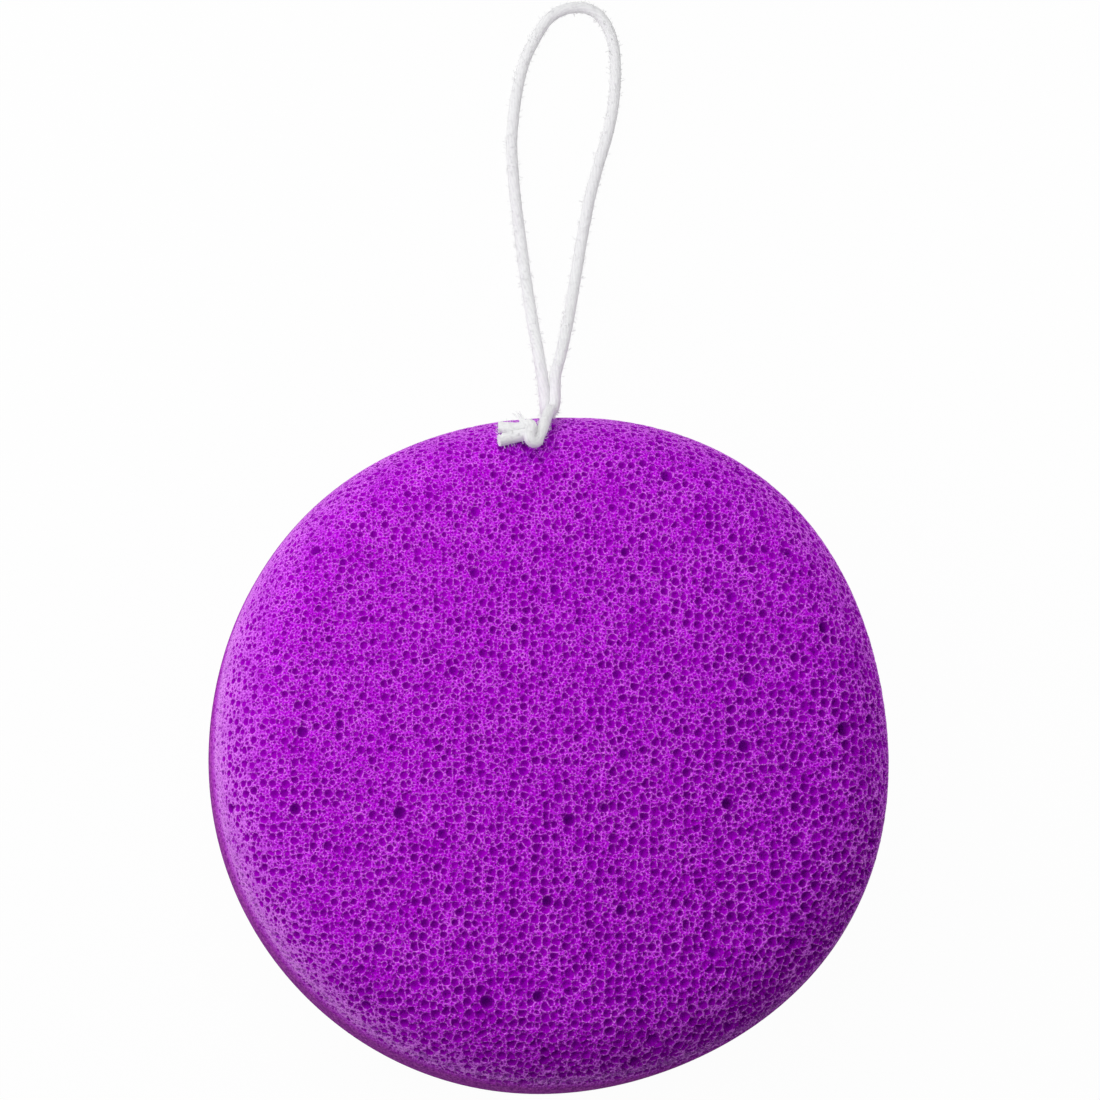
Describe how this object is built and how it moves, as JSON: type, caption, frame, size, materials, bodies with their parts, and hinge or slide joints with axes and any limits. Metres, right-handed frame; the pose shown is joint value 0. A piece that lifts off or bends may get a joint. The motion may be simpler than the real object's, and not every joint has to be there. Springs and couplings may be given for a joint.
{
  "type": "facial cleansing sponge",
  "caption": "Round purple open-cell foam facial sponge with a crowned face, a flat back and a white cotton hanging loop tied through its rim.",
  "frame": {"origin": "middle of the foam body's box, on the plane of its flat back", "axes": "+Z out of the crowned front face, +Y from the middle towards the rim where the cord is tied, +X to the right seen from the front"},
  "size_m": [0.0795, 0.1337, 0.026],
  "materials": {
    "foam": "soft open-cell polyurethane foam with round pores and a finer skin round its side",
    "cord": "thin twisted cotton cord, slightly fuzzy"
  },
  "bodies": {
    "sponge": {"sponge_body": "foam", "cord_through_foam": "cord", "cord_over_rim": "cord", "cord_knot": "cord", "cord_tail_upper": "cord", "cord_tail_lower": "cord"},
    "loop": {"hanging_loop": "cord"}
  },
  "joints": [
    {"name": "loop_swing", "type": "hinge", "parent": "sponge", "child": "loop", "pos_m": [-0.0002, 0.04332, 0.0115], "axis": [1, 0, 0], "range_deg": [0, 100]}
  ]
}
